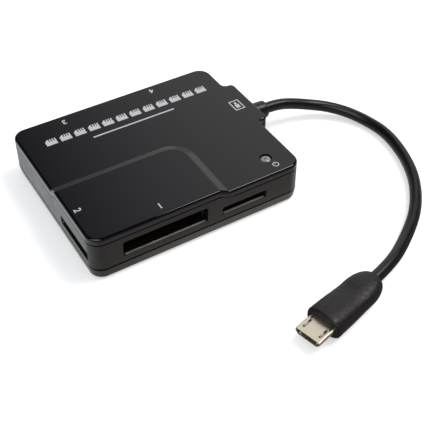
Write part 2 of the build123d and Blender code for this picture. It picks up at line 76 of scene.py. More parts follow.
# %% [markdown]
# The cord is soft, so a curve draws it better than solid runs and arcs. The route's points become the
# control points of one open NURBS spline. Order three pulls a smooth line past them, and the end points
# hold it at the strain relief and at the plug. The order is set after the points, or Blender lowers it.

# %% Cord along its route
cord_diameter = 3.2 * MM
cord_route = [
    (36.85, 4.7, 7.0), (40.8, 4.7, 7.0), (46.0, 3.95, 5.8), (51.1, 2.75, 4.2), (55.7, 0.45, 3.3),
    (60.0, -3.55, 2.4), (63.1, -9.15, 1.65), (64.5, -17.25, 1.65), (62.2, -27.9, 1.65), (57.9, -37.3, 1.65),
    (50.6, -46.1, 1.65), (42.2, -52.3, 1.65), (32.5858, -58.1066, 2.67), (25.2447, -60.0736, 2.67),
]
cord_curve = bpy.data.curves.new("cord_smooth", "CURVE")
cord_curve.dimensions = "3D"
cord_spline = cord_curve.splines.new("NURBS")
cord_spline.points.add(len(cord_route) - 1)
for control, place in zip(cord_spline.points, cord_route):
    control.co = (*[value * MM for value in place], 1.0)
cord_spline.order_u = 3
cord_spline.use_endpoint_u = True
cord_spline.resolution_u = 16
cord_curve.bevel_depth = cord_diameter / 2
cord_curve.bevel_resolution = 8
cord_curve.use_fill_caps = True
cord_piece = bpy.data.objects.new("cord_smooth", cord_curve)
scene.collection.objects.link(cord_piece)
print("cord points", len(cord_spline.points), "order", cord_spline.order_u)

# %% [markdown]
# The plug's grip is one soft moulding: a flattened oval with a slight waist that rounds down to the cord.
# Straight runs between a few stations would show as flats in the sheen, so this grip is drawn as rings. Each
# ring is a superellipse, an oval with fuller corners, and its width and height run smoothly through the
# stations of the solid. The front keeps a pocket for the steel shell, so nothing sits inside anything else.

# %% Smooth grip
plug_place = Matrix.Translation(Vector((1.0, -66.57, 3.12)) * MM) @ Matrix.Rotation(math.radians(15), 4, "Z")
grip_stations = [(5.5, 9.6, 6.2), (8.0, 9.5, 6.06), (11.0, 9.4, 5.75), (14.0, 9.15, 5.4), (16.5, 8.9, 5.2),
                 (19.0, 8.85, 5.3)]
grip_end, grip_end_size = 25.1, 3.7
grip_front_round = 0.6
oval_power, round_power = 2.55, 2.0
ring_points = 96
ring_step, front_steps, end_steps = 0.4, 6, 16
crease_angle = math.radians(40)
shell_corners = [(3.45, 0.92), (-3.45, 0.92), (-3.45, -0.11), (-2.62, -0.92), (2.62, -0.92), (3.45, -0.11)]
pocket_end = 8.8


def station_value(distance, column):
    """The width (column 1) or height (column 2) at a distance, on a smooth curve through the stations."""
    places = [station[0] for station in grip_stations]
    values = [station[column] for station in grip_stations]
    slopes = [(values[1] - values[0]) / (places[1] - places[0])]
    for i in range(1, len(places) - 1):
        slopes.append((values[i + 1] - values[i - 1]) / (places[i + 1] - places[i - 1]))
    slopes.append(0.0)
    i = max(k for k in range(len(places) - 1) if places[k] <= distance)
    run = places[i + 1] - places[i]
    t = (distance - places[i]) / run
    return ((2 * t ** 3 - 3 * t ** 2 + 1) * values[i] + (t ** 3 - 2 * t ** 2 + t) * run * slopes[i]
            + (3 * t ** 2 - 2 * t ** 3) * values[i + 1] + (t ** 3 - t ** 2) * run * slopes[i + 1])


def oval_ring(distance, width, height, centre, power):
    """The points of one superellipse across the grip."""
    ring = []
    for k in range(ring_points):
        angle = 2 * math.pi * k / ring_points
        across, above = math.cos(angle), math.sin(angle)
        ring.append(Vector((distance, width / 2 * math.copysign(abs(across) ** (2 / power), across),
                            centre + height / 2 * math.copysign(abs(above) ** (2 / power), above))))
    return ring


def pocket_ring(distance, outer):
    """The shell's outline, met by a ray from the axis through every point of the outer ring."""
    ring = []
    for point in outer:
        way = Vector((point.y, point.z)).normalized()
        reach = math.inf
        for first, second in zip(shell_corners, shell_corners[1:] + shell_corners[:1]):
            edge = Vector(second) - Vector(first)
            cross = way.x * edge.y - way.y * edge.x
            if abs(cross) > 1e-9:
                along = (first[0] * edge.y - first[1] * edge.x) / cross
                share = (first[0] * way.y - first[1] * way.x) / cross
                if along > 0 and -1e-6 <= share <= 1 + 1e-6:
                    reach = min(reach, along)
        ring.append(Vector((distance, way.x * reach, way.y * reach)))
    return ring


front, front_height = grip_stations[0][0], grip_stations[0][2]
grip_rings = []
for step in range(front_steps + 1):
    angle = math.radians(90 * step / front_steps)
    place = front + grip_front_round * (1 - math.cos(angle))
    less = 2 * grip_front_round * (1 - math.sin(angle))
    height = station_value(place, 2)
    grip_rings.append(oval_ring(place, station_value(place, 1) - less, height - less, (height - front_height) / 2,
                                oval_power))
shoulder, shoulder_width, shoulder_height = grip_stations[-1]
place = front + grip_front_round + ring_step
while place < shoulder:
    height = station_value(place, 2)
    grip_rings.append(oval_ring(place, station_value(place, 1), height, (height - front_height) / 2, oval_power))
    place += ring_step
for step in range(end_steps + 1):
    angle = math.radians(90 * step / end_steps)
    share = math.cos(angle)
    grip_rings.append(oval_ring(shoulder + (grip_end - shoulder) * math.sin(angle),
                                grip_end_size + (shoulder_width - grip_end_size) * share,
                                grip_end_size + (shoulder_height - grip_end_size) * share,
                                (shoulder_height - front_height) / 2,
                                round_power + (oval_power - round_power) * share))
pocket = [pocket_ring(pocket_end, grip_rings[0]), pocket_ring(front, grip_rings[0])]
grip_mesh = bpy.data.meshes.new("plug_grip_smooth")
shape = bmesh.new()
rings = [[shape.verts.new(plug_place @ (point * MM)) for point in ring] for ring in pocket + grip_rings]
for first, second in zip(rings, rings[1:]):
    for k in range(ring_points):
        n = (k + 1) % ring_points
        shape.faces.new((first[k], first[n], second[n], second[k]))
shape.faces.new(rings[0])
shape.faces.new(rings[-1])
bmesh.ops.recalc_face_normals(shape, faces=shape.faces)
for face in shape.faces:
    face.smooth = True
shape.to_mesh(grip_mesh)
shape.free()
grip_mesh.set_sharp_from_angle(angle=crease_angle)
grip_piece = bpy.data.objects.new("plug_grip_smooth", grip_mesh)
scene.collection.objects.link(grip_piece)
print("grip rings", len(rings), "faces", len(grip_mesh.polygons))

# %% [markdown]
# The floor, the light and the finishes are all trees of small nodes. Three helpers write such a tree in plain
# lines. One adds a sum, one a fade from one number to another along a value, and one reads the place of a point
# in the object's own metres. They work on whatever the name tree stands for, so a cell sets that first.

# %% Node helpers


def node_math(operation, first, second=0.0):
    """One sum in the tree at hand: a link or a plain number on each side."""
    node = tree.nodes.new("ShaderNodeMath")
    node.operation = operation
    for socket, value in zip(node.inputs, (first, second)):
        if isinstance(value, float):
            socket.default_value = value
        else:
            tree.links.new(value, socket)
    return node.outputs[0]


def node_fade(value, start, end, low, high, kind="SMOOTHSTEP"):
    """A change from one number to another along a value, smooth or LINEAR."""
    node = tree.nodes.new("ShaderNodeMapRange")
    node.interpolation_type = kind
    for name, number in (("From Min", start), ("From Max", end), ("To Min", low), ("To Max", high)):
        node.inputs[name].default_value = number
    tree.links.new(value, node.inputs["Value"])
    return node.outputs["Result"]


def object_axes():
    """The X, the Y and the Z of a point, in the object's own metres."""
    place = tree.nodes.new("ShaderNodeTexCoord")
    axes = tree.nodes.new("ShaderNodeSeparateXYZ")
    tree.links.new(place.outputs["Object"], axes.inputs[0])
    return axes.outputs


print("node helpers ready")

# %% [markdown]
# The table is a large pale floor. Its white is wanted on the picture, but not as more light on the object,
# so a Light Path node adds a trace of glow for camera rays alone, and the shadow stays. Gloss sees the floor
# as a photographer's two cards: a bright cool one at the reader's left and a dimmer warm one in front. A narrow
# strip close to the front wall is brighter, and the front card grows dim towards the plug.

# %% Floor
floor_half, floor_level = 3.0, -0.02 * MM
floor_white = (0.93, 0.93, 0.93, 1)
camera_glow_share = 0.45
front_card, left_card = (0.62, 0.57, 0.54, 1), (0.93, 1.0, 1.0, 1)
floor_mesh = bpy.data.meshes.new("table_floor")
floor_corners = [(-floor_half, -floor_half, floor_level), (floor_half, -floor_half, floor_level),
                 (floor_half, floor_half, floor_level), (-floor_half, floor_half, floor_level)]
floor_mesh.from_pydata(floor_corners, [], [(0, 1, 2, 3)])
floor = bpy.data.objects.new("table_floor", floor_mesh)
scene.collection.objects.link(floor)
floor_finish = bpy.data.materials.new("table_white")
floor_finish.use_nodes = True
tree = floor_finish.node_tree
tree.nodes.clear()
light_path = tree.nodes.new("ShaderNodeLightPath")
matte = tree.nodes.new("ShaderNodeBsdfDiffuse")
matte.inputs["Color"].default_value = floor_white
camera_glow = tree.nodes.new("ShaderNodeEmission")
camera_share = node_math("MULTIPLY", light_path.outputs["Is Camera Ray"], camera_glow_share)
tree.links.new(camera_share, camera_glow.inputs["Strength"])
floor_x, floor_y, floor_z = object_axes()
toward_left = node_math("SUBTRACT", node_math("MULTIPLY", floor_y, 0.5), floor_x)
card_share = node_fade(toward_left, 13 * MM, 35 * MM, 0.0, 1.0, "LINEAR")
cards = tree.nodes.new("ShaderNodeValToRGB")
cards.color_ramp.elements[0].color = front_card
cards.color_ramp.elements[1].color = left_card
tree.links.new(card_share, cards.inputs["Fac"])
front_strip = node_math("MULTIPLY", node_fade(floor_y, -28.6 * MM, -26.4 * MM, 0.0, 0.7, "LINEAR"),
                        node_fade(floor_y, -25.4 * MM, -24.0 * MM, 1.0, 0.0, "LINEAR"))
front_strip = node_math("MULTIPLY", front_strip, node_fade(floor_x, -28.0 * MM, -8.0 * MM, 0.0, 1.0, "LINEAR"))
card_depth = node_fade(floor_y, -50.0 * MM, -38.0 * MM, 0.3, 1.0, "LINEAR")
card_glow = tree.nodes.new("ShaderNodeEmission")
tree.links.new(cards.outputs["Color"], card_glow.inputs["Color"])
tree.links.new(node_math("ADD", front_strip, card_depth), card_glow.inputs["Strength"])
pale = tree.nodes.new("ShaderNodeAddShader")
tree.links.new(matte.outputs[0], pale.inputs[0])
tree.links.new(camera_glow.outputs[0], pale.inputs[1])
floor_mix = tree.nodes.new("ShaderNodeMixShader")
tree.links.new(light_path.outputs["Is Glossy Ray"], floor_mix.inputs["Fac"])
tree.links.new(pale.outputs[0], floor_mix.inputs[1])
tree.links.new(card_glow.outputs[0], floor_mix.inputs[2])
out = tree.nodes.new("ShaderNodeOutputMaterial")
tree.links.new(floor_mix.outputs[0], out.inputs["Surface"])
floor_mesh.materials.append(floor_finish)
print("floor", 2 * floor_half, "m square")

# %% [markdown]
# A soft box overhead draws the bright line along the lid's front edge and leaves the flat of the lid alone,
# because it stands away from the way that the lid mirrors. The world fills the rest. What the world shows
# to gloss is told apart from what it gives as light: a pale horizon, dark above, with a bright window at the
# right, a pale wall at the rear that the lid's ramp mirrors, and a pane at the left for the edges there. A
# glossy lid is only as lively as what it mirrors. Every fade reads one axis of the direction looked in.

# %% Light
scene.view_settings.view_transform = "Standard"
world = bpy.data.worlds.new("studio")
scene.world = world
world.use_nodes = True
tree = world.node_tree
tree.nodes.clear()
room_dark, fill_strength = 0.02, 0.62
fill_colour, white = (0.95, 0.985, 1.02, 1), (1, 1, 1, 1)
room = tree.nodes.new("ShaderNodeTexCoord")
room_axes = tree.nodes.new("ShaderNodeSeparateXYZ")
tree.links.new(room.outputs["Generated"], room_axes.inputs[0])
toward_right, toward_rear, upward = room_axes.outputs
window = node_math("MULTIPLY", node_fade(toward_right, 0.1, 0.47, 0.0, 0.89),
                   node_fade(toward_rear, 0.2, 0.5, 0.0, 1.0))
window = node_math("MULTIPLY", window, node_fade(upward, 0.05, 0.5, 0.62, 1.0))
horizon = node_fade(upward, 0.02, 0.24, 0.6, 0.0)
rear_wall = node_math("MULTIPLY", node_fade(toward_rear, 0.7, 0.86, 0.0, 1.0),
                      node_fade(upward, 0.3, 0.5, 1.0, 0.0))
rear_wall = node_math("MULTIPLY", rear_wall, node_fade(toward_right, 0.15, 0.45, 0.3, 1.15))
rear_wall = node_math("MULTIPLY", rear_wall, node_fade(toward_right, 0.46, 0.53, 1.0, 0.3))
left_pane = node_math("MULTIPLY", node_fade(toward_right, -0.05, -0.2, 0.0, 2.4),
                      node_fade(toward_rear, 0.1, -0.1, 0.0, 1.0))
left_pane = node_math("MULTIPLY", left_pane, node_fade(upward, 0.4, 0.55, 0.0, 1.0))
room_tone = window
for bright_part in (horizon, rear_wall, left_pane):
    room_tone = node_math("MAXIMUM", room_tone, bright_part)
room_tone = node_math("ADD", room_tone, room_dark)
backgrounds = {}
for part, colour, strength in (("fill", fill_colour, fill_strength), ("mirrored", white, 1.0),
                               ("backdrop", white, 1.0)):
    backgrounds[part] = tree.nodes.new("ShaderNodeBackground")
    backgrounds[part].inputs["Color"].default_value = colour
    backgrounds[part].inputs["Strength"].default_value = strength
tree.links.new(room_tone, backgrounds["mirrored"].inputs["Strength"])
light_path = tree.nodes.new("ShaderNodeLightPath")
gloss_or_glass = node_math("MAXIMUM", light_path.outputs["Is Glossy Ray"],
                           light_path.outputs["Is Transmission Ray"])
lit = tree.nodes.new("ShaderNodeMixShader")
shown = tree.nodes.new("ShaderNodeMixShader")
out = tree.nodes.new("ShaderNodeOutputWorld")
tree.links.new(gloss_or_glass, lit.inputs["Fac"])
tree.links.new(backgrounds["fill"].outputs[0], lit.inputs[1])
tree.links.new(backgrounds["mirrored"].outputs[0], lit.inputs[2])
tree.links.new(light_path.outputs["Is Camera Ray"], shown.inputs["Fac"])
tree.links.new(lit.outputs[0], shown.inputs[1])
tree.links.new(backgrounds["backdrop"].outputs[0], shown.inputs[2])
tree.links.new(shown.outputs[0], out.inputs["Surface"])
soft_box_data = bpy.data.lights.new("soft_box", "AREA")
soft_box_data.shape = "DISK"
soft_box_data.size = 0.5
soft_box_data.energy = 4.4
soft_box_data.color = (1.0, 0.975, 0.94)
soft_box = bpy.data.objects.new("soft_box", soft_box_data)
soft_box.location = (0.53, -0.12, 0.86)
soft_box.rotation_euler = (-soft_box.location).to_track_quat("-Z", "Y").to_euler()
scene.collection.objects.link(soft_box)
print("soft box energy", soft_box_data.energy)

# %% [markdown]
# Every finish starts from one Principled shader. Five helpers keep the cells short: they make the material,
# read a noise in the object's own metres, send it to a socket as numbers or colours, hang a fine bump on it and
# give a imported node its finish.

# %% Finish helpers


def finish(name, colour, roughness, metallic=0.0, ior=1.47):
    """A new material with one Principled shader: the same colour all over until a node says otherwise."""
    material = bpy.data.materials.new(name)
    material.use_nodes = True
    shader = material.node_tree.nodes["Principled BSDF"]
    shader.inputs["Base Color"].default_value = (*colour, 1)
    shader.inputs["Roughness"].default_value = roughness
    shader.inputs["Metallic"].default_value = metallic
    shader.inputs["IOR"].default_value = ior
    return material


def noise(material, size, detail=4.0, stretch=(1, 1, 1)):
    """A noise whose spots are about this many metres across, on the object's own coordinates."""
    tree = material.node_tree
    place = tree.nodes.new("ShaderNodeTexCoord")
    mapping = tree.nodes.new("ShaderNodeMapping")
    mapping.inputs["Scale"].default_value = stretch
    texture = tree.nodes.new("ShaderNodeTexNoise")
    texture.inputs["Scale"].default_value = 1 / size
    texture.inputs["Detail"].default_value = detail
    tree.links.new(place.outputs["Object"], mapping.inputs["Vector"])
    tree.links.new(mapping.outputs["Vector"], texture.inputs["Vector"])
    return texture.outputs["Fac"]


def spread(material, value, socket, low, high, start=0.35, end=0.65):
    """Sends a value between 0 and 1 to a shader's socket, as numbers or colours between low and high."""
    tree = material.node_tree
    target = tree.nodes["Principled BSDF"].inputs[socket]
    if isinstance(low, tuple):
        ramp = tree.nodes.new("ShaderNodeValToRGB")
        ramp.color_ramp.elements[0].position = start
        ramp.color_ramp.elements[0].color = (*low, 1)
        ramp.color_ramp.elements[1].position = end
        ramp.color_ramp.elements[1].color = (*high, 1)
        tree.links.new(value, ramp.inputs["Fac"])
        tree.links.new(ramp.outputs["Color"], target)
        return
    scale = tree.nodes.new("ShaderNodeMapRange")
    scale.inputs["From Min"].default_value = start
    scale.inputs["From Max"].default_value = end
    scale.inputs["To Min"].default_value = low
    scale.inputs["To Max"].default_value = high
    tree.links.new(value, scale.inputs["Value"])
    tree.links.new(scale.outputs["Result"], target)


def bump(material, value, depth, strength=1.0):
    """Raises and lowers the shading by a value, over a depth in metres."""
    tree = material.node_tree
    ripple = tree.nodes.new("ShaderNodeBump")
    ripple.inputs["Strength"].default_value = strength
    ripple.inputs["Distance"].default_value = depth
    tree.links.new(value, ripple.inputs["Height"])
    tree.links.new(ripple.outputs["Normal"], tree.nodes["Principled BSDF"].inputs["Normal"])


def dress(node, material):
    """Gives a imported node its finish."""
    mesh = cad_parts[node].data
    mesh.materials.clear()
    mesh.materials.append(material)


print("finish helpers ready")

# %% [markdown]
# The lid is polished black plastic. A mirror would look too clean: broad, faint clouds in the roughness
# are what hands leave on it, and a shallow long wave bends the reflections as moulded plastic does.

# %% Lid gloss
lid_gloss = finish("lid_gloss", (0.0027, 0.0028, 0.005), 0.08, ior=1.45)
spread(lid_gloss, noise(lid_gloss, 9 * MM), "Roughness", 0.025, 0.06)
bump(lid_gloss, noise(lid_gloss, 14 * MM, detail=0.0), 0.03 * MM, 0.2)
dress("top_cover", lid_gloss)
print("lid dressed")

# %% [markdown]
# The frame and the tray are the same plastic straight from a spark-eroded mould: a grain finer than a
# fifth of a millimetre scatters the light, so the walls shine softly instead of mirroring. Along each seam a
# narrow band, found from the height, is painted shade: black with a metallic share, which takes its shine
# away, so that the seam shows as a dark line wider than its gap. The upper seam climbs with the raised
# field, so the field's rise is worked out first, along X and along Y.

# %% Satin walls
ramp_along_x, ramp_along_y, field_rise = (5.3 * MM, 7.8 * MM), (-3.9 * MM, -1.4 * MM), 1.4 * MM
lid_seam, foot_seam, tray_seam = (9.96 * MM, 10.04 * MM), (3.68 * MM, 3.76 * MM), (3.16 * MM, 3.22 * MM)
frame_satin = finish("frame_satin", (0.006, 0.006, 0.0062), 0.3, ior=1.45)
spread(frame_satin, noise(frame_satin, 3 * MM), "Roughness", 0.26, 0.34)
bump(frame_satin, noise(frame_satin, 0.16 * MM, detail=2.0), 0.005 * MM, 0.35)
tree = frame_satin.node_tree
wall_x, wall_y, wall_z = object_axes()
seam_rise = node_math("MINIMUM", node_fade(wall_x, *ramp_along_x, field_rise, 0.0, "LINEAR"),
                      node_fade(wall_y, *ramp_along_y, field_rise, 0.0, "LINEAR"))
under_seam = node_math("SUBTRACT", wall_z, seam_rise)
# Painted shade: the frame turns black and metallic in a narrow band at its top edge by the lid and at its foot by
# the tray.
frame_seam_painted_shade = node_math("MAXIMUM", node_fade(under_seam, *lid_seam, 0.0, 1.0),
                        node_fade(wall_z, *foot_seam, 1.0, 0.0))
tree.links.new(frame_seam_painted_shade, tree.nodes["Principled BSDF"].inputs["Metallic"])
dress("slot_frame", frame_satin)
tray_satin = finish("tray_satin", (0.006, 0.006, 0.006), 0.34, ior=1.45)
spread(tray_satin, noise(tray_satin, 3 * MM), "Roughness", 0.3, 0.38)
bump(tray_satin, noise(tray_satin, 0.18 * MM, detail=2.0), 0.006 * MM, 0.4)
tree = tray_satin.node_tree
# Painted shade: the tray turns black and metallic in a narrow band along its top edge, at the seam.
tray_seam_painted_shade = node_fade(object_axes()["Z"], *tray_seam, 0.0, 1.0)
tree.links.new(tray_seam_painted_shade, tree.nodes["Principled BSDF"].inputs["Metallic"])
dress("bottom_cover", tray_satin)
print("walls dressed")

# %% [markdown]
# The lower edge of the front and rear slots is rounded off where cards rub past it. The lip is a small rounded
# strip that lies on the slot's lead-in, drawn along X and turned about Z to its wall. The thin bright line under
# each slot is a painted highlight on this strip: paler towards the slot's inside, more in some spots than in
# others.

# %% Slot lips
lip_sill, lip_drop, lip_steps = 5.45, 0.205, 6
lip_inner, lip_crest, lip_outer = -0.7, -0.4, 0.02
lip_corner = 0.4
lip_pale, lip_dark = 24.5 * MM, 24.85 * MM
slot_places = [(-11.7, -25.0, 0, 23.2), (10.95, -25.0, 0, 12.8), (-16.9, 25.0, 180, 21.6),
               (9.5, 25.0, 180, 25.6)]
lip_section = [(lip_inner, lip_sill)]
for step in range(lip_steps + 1):
    share = step / lip_steps
    lip_section.append((lip_crest + (lip_outer - lip_crest) * share, lip_sill - lip_drop * share ** 2))
lip_mesh = bpy.data.meshes.new("slot_lips")
lips = bmesh.new()
for x, y, degrees, length in slot_places:
    spot = Matrix.Translation(Vector((x, y, 0))) @ Matrix.Rotation(math.radians(degrees), 4, "Z")
    reach = length / 2 - lip_corner
    ends = [[lips.verts.new((spot @ Vector((along, -out, level))) * MM) for out, level in lip_section]
            for along in (-reach, reach)]
    for k in range(len(lip_section)):
        n = (k + 1) % len(lip_section)
        lips.faces.new((ends[0][k], ends[0][n], ends[1][n], ends[1][k]))
    lips.faces.new(ends[0])
    lips.faces.new(ends[1])
bmesh.ops.recalc_face_normals(lips, faces=lips.faces)
for face in lips.faces:
    face.smooth = len(face.verts) == 4
lips.to_mesh(lip_mesh)
lips.free()
lip_mesh.set_sharp_from_angle(angle=math.radians(35))
slot_lip_painted_highlight = finish("slot_lip_painted_highlight", (0.2, 0.196, 0.19), 0.42)
tree = slot_lip_painted_highlight.node_tree
# Painted highlight: the lip is pale towards the slot's inside and dark at its outer edge, broken up by a noise.
lip_away = node_math("ABSOLUTE", object_axes()["Y"])
lip_highlight_share = node_math("MULTIPLY", node_fade(lip_away, lip_pale, lip_dark, 1.0, 0.0, "LINEAR"),
                       noise(slot_lip_painted_highlight, 1.2 * MM, stretch=(0.4, 0.4, 1)))
spread(slot_lip_painted_highlight, lip_highlight_share, "Base Color", (0.012, 0.012, 0.012), (0.42, 0.41, 0.395), 0.0, 0.6)
bump(slot_lip_painted_highlight, noise(slot_lip_painted_highlight, 0.2 * MM), 0.006 * MM, 0.4)
lip_mesh.materials.append(slot_lip_painted_highlight)
slot_lips = bpy.data.objects.new("slot_lips", lip_mesh)
scene.collection.objects.link(slot_lips)
print("slot lips", len(slot_places), "faces", len(lip_mesh.polygons))

# %% [markdown]
# The cord, its strain relief and the plug's grip are soft plastic. The jacket is faintly uneven from the die it
# was drawn through, and the grip is the dullest and the grainiest of the three.

# %% Soft plastics
cord_jacket = finish("cord_jacket", (0.0058, 0.0052, 0.0054), 0.28, ior=1.42)
spread(cord_jacket, noise(cord_jacket, 2.5 * MM), "Roughness", 0.26, 0.36)
bump(cord_jacket, noise(cord_jacket, 0.5 * MM, detail=2.0), 0.006 * MM, 0.2)
cord_curve.materials.append(cord_jacket)
boot_rubber = finish("boot_rubber", (0.008, 0.0075, 0.0076), 0.32)
spread(boot_rubber, noise(boot_rubber, 1.5 * MM), "Roughness", 0.28, 0.38)
bump(boot_rubber, noise(boot_rubber, 0.4 * MM, detail=2.0), 0.006 * MM, 0.25)
dress("strain_relief", boot_rubber)
grip_rubber = finish("grip_rubber", (0.0105, 0.008, 0.009), 0.36, ior=1.42)
spread(grip_rubber, noise(grip_rubber, 0.7 * MM), "Roughness", 0.28, 0.46)
bump(grip_rubber, noise(grip_rubber, 0.45 * MM, detail=3.0), 0.11 * MM, 1.0)
grip_mesh.materials.append(grip_rubber)
print("soft plastics dressed")

# %% [markdown]
# Metal reads as metal through what it mirrors and through the fine lines of rolling and stamping. The
# plug's shell has a warm plating, the covers and the crystal's can are plain steel, and the contacts wear
# a flash of gold.

# %% Metals
plug_steel = finish("plug_steel", (0.88, 0.8, 0.645), 0.34, metallic=1.0)
spread(plug_steel, noise(plug_steel, 1.2 * MM), "Roughness", 0.3, 0.4)
bump(plug_steel, noise(plug_steel, 0.5 * MM, stretch=(0.2, 1, 1)), 0.002 * MM, 0.2)
dress("plug_shell", plug_steel)
latch_steel = finish("latch_steel", (0.66, 0.63, 0.57), 0.24, metallic=1.0)
spread(latch_steel, noise(latch_steel, 0.5 * MM), "Roughness", 0.18, 0.3)
dress("plug_latches", latch_steel)
sheet_steel = finish("sheet_steel", (0.55, 0.55, 0.54), 0.32, metallic=1.0)
spread(sheet_steel, noise(sheet_steel, 0.3 * MM, stretch=(0.04, 1, 1)), "Roughness", 0.3, 0.36)
contact_gold = finish("contact_gold", (0.78, 0.56, 0.24), 0.25, metallic=1.0)
spread(contact_gold, noise(contact_gold, 0.4 * MM), "Roughness", 0.18, 0.34)
tinned_lead = finish("tinned_lead", (0.62, 0.61, 0.58), 0.3, metallic=1.0)
spread(tinned_lead, noise(tinned_lead, 0.5 * MM), "Roughness", 0.22, 0.4)
crystal_can = finish("crystal_can", (0.6, 0.59, 0.56), 0.26, metallic=1.0)
spread(crystal_can, noise(crystal_can, 1.2 * MM), "Roughness", 0.24, 0.29)
dress("clock_crystal", crystal_can)
dress("lamp_leads", tinned_lead)
dress("plug_contacts", contact_gold)
for socket in ("small", "left", "mini", "full", "wide"):
    dress(socket + "_socket_contacts", contact_gold)
    if socket != "wide":
        dress(socket + "_socket_cover", sheet_steel)
print("metals dressed")

# %% [markdown]
# Inside, the board is green lacquer over copper, and its parts are black epoxy and fired ceramic. They are
# seen only when the lid is off, and then they have to look like what they are. The copper tracks show through
# the lacquer as paler lines: bands along X in some areas and along Y in others, as a slow noise decides.

# %% Board and its parts
track_pitch = 1.1 * MM
board_lacquer = finish("board_lacquer", (0.012, 0.1, 0.035), 0.3)
tree = board_lacquer.node_tree
board_place = tree.nodes.new("ShaderNodeTexCoord")
track_bands = []
for way in ("X", "Y"):
    bands = tree.nodes.new("ShaderNodeTexWave")
    bands.bands_direction = way
    bands.inputs["Scale"].default_value = 2 * math.pi / (20 * track_pitch)
    tree.links.new(board_place.outputs["Object"], bands.inputs["Vector"])
    track_bands.append(bands.outputs["Fac"])
track_area = node_math("GREATER_THAN", noise(board_lacquer, 9 * MM, detail=0.0), 0.5)
tracks = node_math("ADD", node_math("MULTIPLY", track_bands[0], track_area),
                   node_math("MULTIPLY", track_bands[1], node_math("SUBTRACT", 1.0, track_area)))
spread(board_lacquer, tracks, "Base Color", (0.009, 0.08, 0.028), (0.03, 0.17, 0.06), 0.62, 0.7)
bump(board_lacquer, tracks, 0.02 * MM, 0.3)
dress("circuit_board", board_lacquer)
chip_epoxy = finish("chip_epoxy", (0.012, 0.012, 0.013), 0.5)
bump(chip_epoxy, noise(chip_epoxy, 0.1 * MM), 0.004 * MM, 0.5)
dress("controller_chip", chip_epoxy)
ceramic_tan = finish("ceramic_tan", (0.36, 0.24, 0.14), 0.45)
spread(ceramic_tan, noise(ceramic_tan, 0.3 * MM), "Base Color", (0.3, 0.19, 0.11), (0.42, 0.29, 0.18))
dress("board_capacitors", ceramic_tan)
ceramic_dark = finish("ceramic_dark", (0.015, 0.015, 0.017), 0.35)
spread(ceramic_dark, noise(ceramic_dark, 0.3 * MM), "Roughness", 0.28, 0.45)
dress("board_resistors", ceramic_dark)
socket_black = finish("socket_black", (0.009, 0.009, 0.0095), 0.4)
bump(socket_black, noise(socket_black, 0.15 * MM), 0.005 * MM, 0.4)
for socket in ("small", "left", "mini", "full"):
    dress(socket + "_socket_base", socket_black)
socket_brown = finish("socket_brown", (0.009, 0.0055, 0.0032), 0.45)
bump(socket_brown, noise(socket_brown, 0.15 * MM), 0.005 * MM, 0.4)
dress("wide_socket_base", socket_brown)
tongue_black = finish("tongue_black", (0.012, 0.012, 0.012), 0.42)
bump(tongue_black, noise(tongue_black, 0.1 * MM), 0.004 * MM, 0.4)
dress("plug_tongue", tongue_black)
wire_colours = {"supply_wire": (0.42, 0.012, 0.01), "first_data_wire": (0.72, 0.72, 0.69),
                "second_data_wire": (0.012, 0.24, 0.04), "ground_wire": (0.012, 0.012, 0.012)}
for wire, colour in wire_colours.items():
    jacket = finish(wire + "_jacket", colour, 0.4)
    spread(jacket, noise(jacket, 0.6 * MM), "Roughness", 0.34, 0.48)
    dress(wire, jacket)
print("inner parts dressed")

# %% [markdown]
# The lamp is a low dome of milky resin on a flange, drawn as circles from its foot to its crown. Seen from
# above, the cup and the chip inside show as a greyer middle with a pale ring round it, painted into the resin's
# colour: the middle stands for the dark chip, and the ring is a painted reflection of the metal cup. A distance
# from the lamp's axis, worked out on Object coordinates and broken up by a noise, sets that tone, and a share
# of transmission keeps the resin deep.

# %% Lamp
lamp_low, lamp_high = [Vector(corner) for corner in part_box("power_lamp")]
lamp_axis = (lamp_low + lamp_high) / 2
lamp_resin = finish("lamp_resin", (0.5, 0.52, 0.46), 0.12, ior=1.53)
lamp_resin.node_tree.nodes["Principled BSDF"].inputs["Transmission Weight"].default_value = 0.25
tree = lamp_resin.node_tree
lamp_place = tree.nodes.new("ShaderNodeTexCoord")
lamp_away = tree.nodes.new("ShaderNodeVectorMath")
lamp_away.operation = "SUBTRACT"
lamp_away.inputs[1].default_value = lamp_axis
lamp_flat = tree.nodes.new("ShaderNodeVectorMath")
lamp_flat.operation = "MULTIPLY"
lamp_flat.inputs[1].default_value = (1 / MM, 1 / MM, 0.0)
lamp_distance = tree.nodes.new("ShaderNodeVectorMath")
lamp_distance.operation = "LENGTH"
tree.links.new(lamp_place.outputs["Object"], lamp_away.inputs[0])
tree.links.new(lamp_away.outputs["Vector"], lamp_flat.inputs[0])
tree.links.new(lamp_flat.outputs["Vector"], lamp_distance.inputs[0])
# Painted reflection: a pale ring round a greyer middle, set by the distance from the lamp's axis.
lamp_broken = node_math("ADD", lamp_distance.outputs["Value"], noise(lamp_resin, 0.5 * MM, detail=1.0))
spread(lamp_resin, lamp_broken, "Base Color", (0.1, 0.105, 0.09), (0.42, 0.43, 0.38), 0.8, 1.05)
bump(lamp_resin, noise(lamp_resin, 0.7 * MM), 0.02 * MM, 0.4)
flange_radius, flange_height = 1.8, 0.8
lamp_radius, lamp_sides = 1.5, 48
dome_height, dome_steps = 0.7, 10
foot, crown = lamp_low.z / MM, lamp_high.z / MM
lamp_profile = [(flange_radius, foot), (flange_radius, foot + flange_height),
                (lamp_radius, foot + flange_height)]
for step in range(dome_steps):
    angle = math.radians(90 * step / dome_steps)
    lamp_profile.append((lamp_radius * math.cos(angle), crown - dome_height * (1 - math.sin(angle))))
lamp_mesh = bpy.data.meshes.new("lamp_dome")
dome = bmesh.new()
